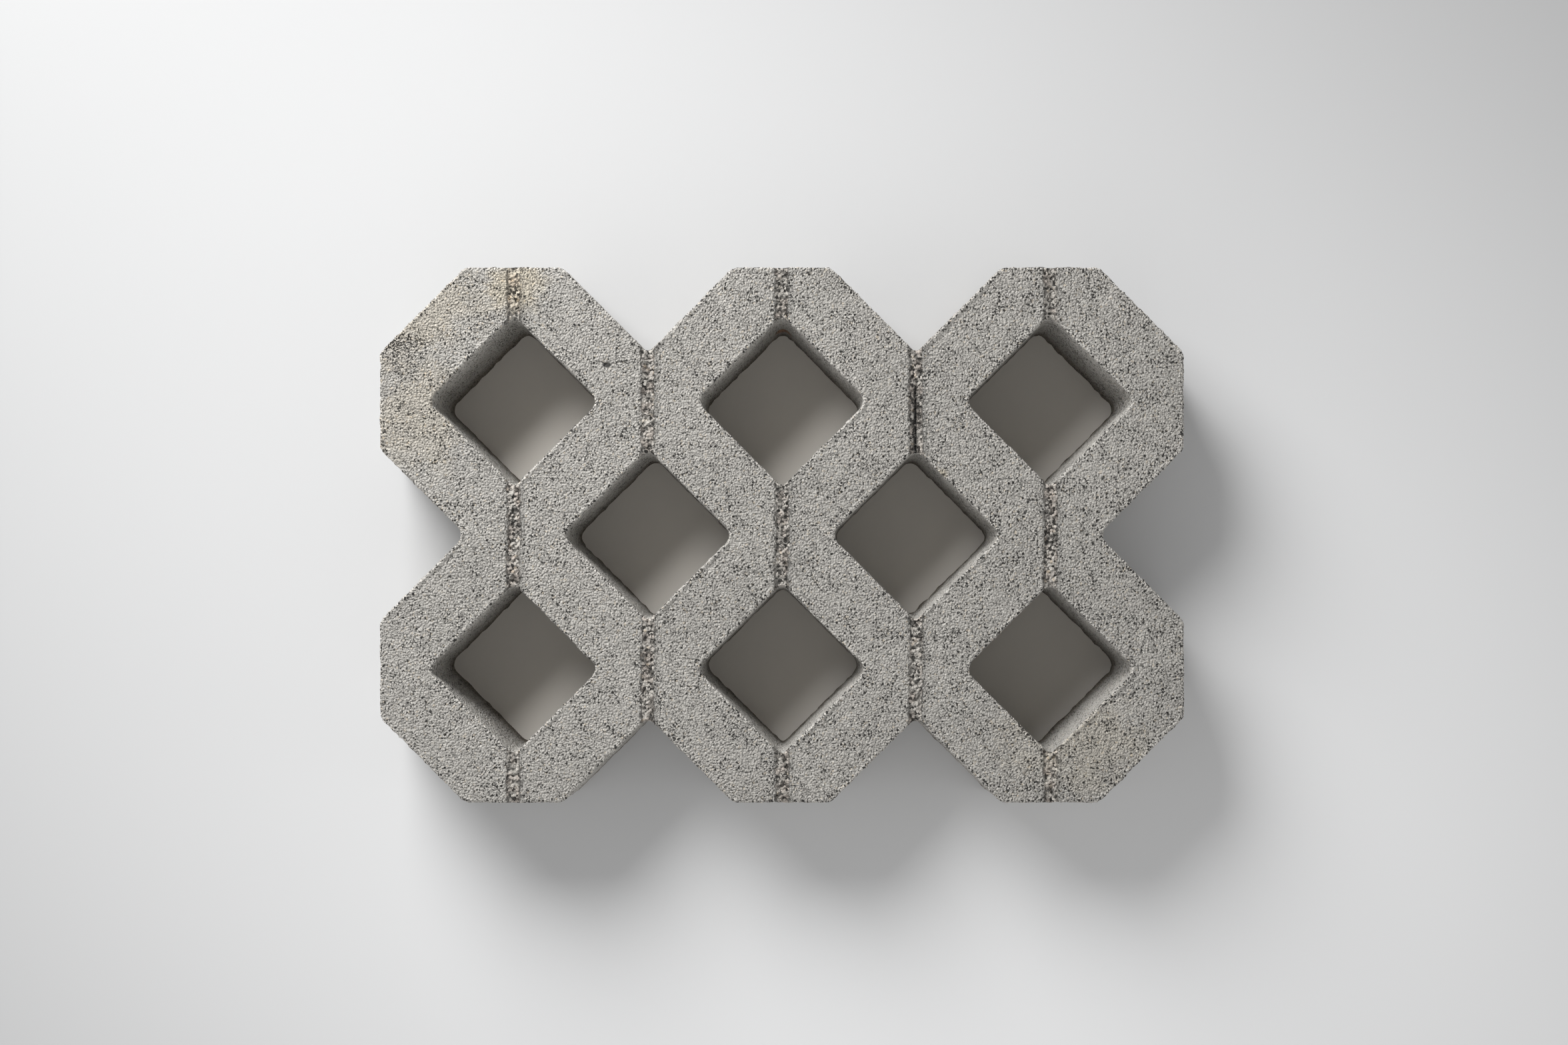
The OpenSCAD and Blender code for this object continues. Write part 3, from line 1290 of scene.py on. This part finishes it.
# Towards the right end: more dark gaps, as painted shade standing in for weaker relief shading
LOOSER_RIGHT = (-STEP, HALF_L, 0.0, 0.055)
# Paler towards the right end, to make up for the extra painted shade of its gaps
PALER_RIGHT = (-STEP, HALF_L, 1.0, 1.035)
# Painted highlight: the colour is a little paler close to every rim
RIM_HIGHLIGHT = (0.8 * MM, 2.8 * MM, 1.2, 1.0)
FACE_PORES = {"Spacing": 8 * MM, "Radius": 1.3 * MM, "Share": 0.35}
PORE_DEPTH = 0.9
PORE_DARK = 0.9
CRACK_DEPTH = 0.8
CRACK_DARK = 0.75
PIT_DARK = (0.45, 1.0, 0.0, 0.9)
AIR_HOLE_DARK = (0.55, 0.85, 0.95, 0.0)


def face_looseness(place, from_rim, along):
    """Looser at the rims, in one patch at the left end and towards the right end, where the extra
    dark gaps are painted shade.
    """
    patch = place_group(stain, Vector=place, **COARSE_PATCH)["Mask"]
    rim = ramp(from_rim, *RIM_LOOSENESS)
    return rim + patch * PATCH_LOOSENESS + ramp(along, *LOOSER_RIGHT)


def make_rammed(name, beside_seam):
    """The rammed face, with or without the coarse strip along a seam."""
    material, shader, place = new_material(name)
    from_rim = attribute_of(place.tree, "rim_distance")
    along, _, _ = split(place)
    grain = {"Grain": FINE_GRAIN * MM, "Looseness": face_looseness(place, from_rim, along)}
    grains = place_group(flat_grains, Vector=place, **grain)
    height, gap, tone = grains["Height"] * FINE_GRAIN, grains["Gap"], grains["Tone"]
    base = FACE_COLOUR
    if beside_seam:
        height, gap, tone, base = lay_strip(place, height, gap, tone)
    crack = crack_mask(place)
    pore = place_group(flat_pores, Vector=place, **FACE_PORES)["Depth"]
    pit = ramp(attribute_of(place.tree, "pit_depth"), *PIT_DARK)
    from_hole = distance_from(place, (*AIR_HOLE[:2], HEIGHT), (*AIR_HOLE_SIZE[:2], 1.0))
    air_hole = ramp(from_hole, *AIR_HOLE_DARK)
    # Painted shade in gaps, the crack, pores, pits, chips and the air hole, with some real dirt
    dark = largest(gap, crack * CRACK_DARK, pore * PORE_DARK, pit, air_hole)
    look = {"Base": base, "Tone": tone, "Dark": dark, "Contrast": FACE_CONTRAST}
    colour = place_group(sand_colour, Vector=place, **look)["Color"]
    # Painted highlight close to every rim, times the paler right end
    paler = ramp(from_rim, *RIM_HIGHLIGHT) * ramp(along, *PALER_RIGHT)
    colour = add_stains(place, scale(colour, paler), FACE_STAINS)
    connect(shader, colour, height - crack * CRACK_DEPTH - pore * PORE_DEPTH)
    print(f"{name}: {len(place.tree.nodes)} nodes")
    return material


# %% [markdown]
# ## Walls and bed
#
# Steel has wiped the walls, so their grains are finer to the touch and drawn out along Z,
# denser in some patches and more open in others. Their colour gets darker towards the
# foot. The bed has the smooth, dimpled look of concrete that was cast on a board.

# %% Materials of walls and bed
WALL_COLOUR = (0.358, 0.345, 0.321)
BED_COLOUR = (0.37, 0.36, 0.335)
OPEN_PATCHES = ((20 * MM, 3.0, 0.6), (0.46, 0.64, 0.0, 0.16))
DARKER_FOOT_TINT = (0.46, 0.42, 0.37)
NO_TINT = (1, 1, 1)
DARKER_FOOT_BAND = 28 * MM
WALL_STAINS = [((2 * MM, STEP + TIP - 4 * MM), (9 * MM, 9 * MM), RUST, 1.0)]
WALL_STAINS_AT = {"level": 0.3 * HEIGHT, "thickness": 7 * MM}
WALL_PORES = {"Spacing": 8 * MM, "Radius": 1.3 * MM, "Share": 0.5}
BED_PORES = {"Spacing": 11 * MM, "Radius": 2.4 * MM, "Share": 0.6}


def make_moulded(name, base, grain, relief, contrast, pores, drawn_out, foot_tint):
    """A face that steel or a board has pressed: finer and flatter, with air holes."""
    material, shader, place = new_material(name)
    drawn = add(place.tree, "Mapping", {"Vector": place, "Scale": (1, 1, drawn_out)})
    looser = patches(drawn, *OPEN_PATCHES)
    grains = place_group(solid_grains, Vector=drawn, Grain=grain * MM, Looseness=looser)
    pore = place_group(solid_pores, Vector=place, **pores)["Depth"]
    # Painted shade in the gaps and pores of walls and bed, with some real dirt
    dark = largest(grains["Gap"] * contrast, pore)
    look = {"Base": base, "Tone": grains["Tone"], "Dark": dark, "Contrast": contrast}
    colour = place_group(sand_colour, Vector=place, **look)["Color"]
    _, _, above_bed = split(place)
    # Colour darker towards the foot of the walls, over the lowest band above the bed
    tint = blend(ramp(above_bed, 0.0, DARKER_FOOT_BAND), foot_tint, NO_TINT)
    colour = blend(1.0, colour, tint, "MULTIPLY")
    colour = add_stains(place, colour, WALL_STAINS, **WALL_STAINS_AT)
    connect(shader, colour, grains["Height"] * (relief * grain) - pore * PORE_DEPTH)
    print(f"{name}: {len(place.tree.nodes)} nodes")
    return material


for material in (
    make_rammed("rammed_face", False),
    make_moulded(
        "moulded_wall", WALL_COLOUR, grain=1.35, relief=1.0, contrast=0.65,
        pores=WALL_PORES, drawn_out=0.7, foot_tint=DARKER_FOOT_TINT,
    ),
    make_moulded(
        "bed", BED_COLOUR, grain=1.6, relief=0.2, contrast=0.4,
        pores=BED_PORES, drawn_out=1.0, foot_tint=NO_TINT,
    ),
    make_rammed("rammed_seam", True),
):
    paver_mesh.materials.append(material)

# %% [markdown]
# ## Floor, light and camera
#
# The floor is a pale sheet with painted light in its colour: a painted pool, brightest in
# front of the block on the right and a little greyer away from there. Far off, where the
# lamps no longer reach, it is painted paler, so that the band behind the block stays
# light. Inside the openings it is painted paler and warmer, as painted bounce light.

# %% Floor
FLOOR_COLOUR = (0.657, 0.659, 0.662)
PAINTED_BOUNCE_COLOUR = (0.86, 0.82, 0.76)
FAR_PAINTED_LIGHT = (0.9, 0.9, 0.9)
BRIGHTEST = (0.325, -0.44, 0)
PAINTED_POOL_FALLOFF = (0.05, 1.39, 1.05, 0.55)
UNDER_KEY = (-0.45, 0.65, 0)
FAR_OVER = (1.4, 2.4)
BOUNCE_BORDER = (-0.12 * STEP, -0.02 * STEP)
FLOOR_HALF = 40


def outside_outline(place):
    """About how far a place lies outside the outline, and negative inside it.

    Along each axis that is |place| - half the size + notch, and the larger one counts. A
    notch is TIP - the distance to the middle of the nearest half opening. The middles lie
    at even steps on the ends and at odd steps on the long sides.
    """
    x, y, _ = split(place)
    from_even = calc("PINGPONG", y, STEP)
    from_odd = STEP - calc("PINGPONG", x, STEP)
    past_end = abs(x) - HALF_L + largest(TIP - from_even, 0.0)
    past_side = abs(y) - HALF_W + largest(TIP - from_odd, 0.0)
    return largest(past_end, past_side)


corner_signs = np.array([(-1, -1, 0), (1, -1, 0), (1, 1, 0), (-1, 1, 0)])
floor_mesh = bpy.data.meshes.new("floor")
floor_mesh.from_pydata(corner_signs * FLOOR_HALF, [], [(0, 1, 2, 3)])
floor = bpy.data.objects.new("floor", floor_mesh)
bpy.context.scene.collection.objects.link(floor)
floor_material, shader, place = new_material("floor", roughness=0.9, specular=0.1)
# Painted pool of light: brightest round one place on the floor, greyer away from it
colour = scale(FLOOR_COLOUR, ramp(distance_from(place, BRIGHTEST), *PAINTED_POOL_FALLOFF))
# Painted light far off: paler again beyond the lamps' reach
colour = blend(ramp(distance_from(place, UNDER_KEY), *FAR_OVER), colour, FAR_PAINTED_LIGHT)
# Painted bounce light: paler and warmer inside the openings
painted_bounce = fall(outside_outline(place), *BOUNCE_BORDER)
feed(shader, {"Base Color": blend(painted_bounce, colour, PAINTED_BOUNCE_COLOUR)})
floor_mesh.materials.append(floor_material)
print(f"floor {2 * FLOOR_HALF} m square")

# %% [markdown]
# One large soft lamp hangs near the block, behind it on the left, a third of the way up
# from the floor to straight overhead. Two weak ones, from the front left and from the
# right, lift the shadows. The surroundings give the rest: 1 - z^2, where z is the height
# of the direction, so that nothing comes from straight above and the bottoms of the
# openings stay dark, times 1 - 0.8 y, so that more comes from the front than from behind.

# %% Surroundings
MORE_IN_FRONT = 0.8
BACKDROP = (0.66, 0.66, 0.665)
world = bpy.data.worlds.new("studio")
world.use_nodes = True
tree = world.node_tree
_, y, z = split(add(tree, "TexCoord").also("Generated"))
room = tree.nodes["Background"]
feed(room, {"Color": (1, 1, 1), "Strength": (1 - z * z) * (1 - y * MORE_IN_FRONT)})
backdrop = add(tree, "Background", {"Color": BACKDROP, "Strength": 1.0})
ray = add(tree, "LightPath")
seen = largest(ray, ray.also("Is Glossy Ray"), ray.also("Is Transmission Ray"))
either = add(tree, "MixShader", {0: seen, 1: Wire(room.outputs[0]), 2: backdrop})
feed(tree.nodes["World Output"], {"Surface": either})
bpy.context.scene.world = world
print(f"surroundings: {1 + MORE_IN_FRONT:.1f} from the front, {1 - MORE_IN_FRONT:.1f} from behind")

# %% Lamps
SPREAD = 120


def soft_lamp(name, turn, rise, distance, size, watts, aim=(0, 0, 0)):
    """A round soft lamp near the block, `turn` degrees left of the back, `rise` above the floor.

    Its light stays within a cone, so that the floor below the lamp doesn't glare.
    """
    turn, rise = np.radians(turn), np.radians(rise)
    away = np.array([-np.sin(turn) * np.cos(rise), np.cos(turn) * np.cos(rise), np.sin(rise)])
    light = bpy.data.lights.new(name, "AREA")
    light.shape = "DISK"
    light.size = size
    light.energy = watts
    light.spread = np.radians(SPREAD)
    lamp = bpy.data.objects.new(name, light)
    lamp.location = away * distance
    lamp.rotation_mode = "QUATERNION"
    lamp.rotation_quaternion = Vector(away * distance - aim).to_track_quat("Z", "Y")
    bpy.context.scene.collection.objects.link(lamp)
    print(f"lamp {name}: {watts} W at {distance} m")


soft_lamp("key", turn=34, rise=32, distance=1.8, size=1.2, watts=29.2, aim=(-HALF_L, -HALF_W, 0))
soft_lamp("reflector", turn=155, rise=15, distance=2.5, size=1.4, watts=1.5)
soft_lamp("wall", turn=-100, rise=15, distance=2.5, size=1.4, watts=3.6)

# %% Camera
CAMERA_ABOVE = 1.426
CAMERA_OVER = (0.0144, -0.0351)
SEEN_WIDTH = 1.1675
SENSOR_WIDTH = 36
SHIFT = (-0.011, 0.038)
camera_data = bpy.data.cameras.new("camera")
camera_data.sensor_width = SENSOR_WIDTH
camera_data.lens = SENSOR_WIDTH * CAMERA_ABOVE / SEEN_WIDTH
camera_data.shift_x, camera_data.shift_y = SHIFT
camera = bpy.data.objects.new("camera", camera_data)
camera.location = (*CAMERA_OVER, HEIGHT + CAMERA_ABOVE)
bpy.context.scene.collection.objects.link(camera)
bpy.context.scene.camera = camera
bpy.context.scene.view_settings.view_transform = "Standard"
print(f"camera {CAMERA_ABOVE} m above the wearing face")
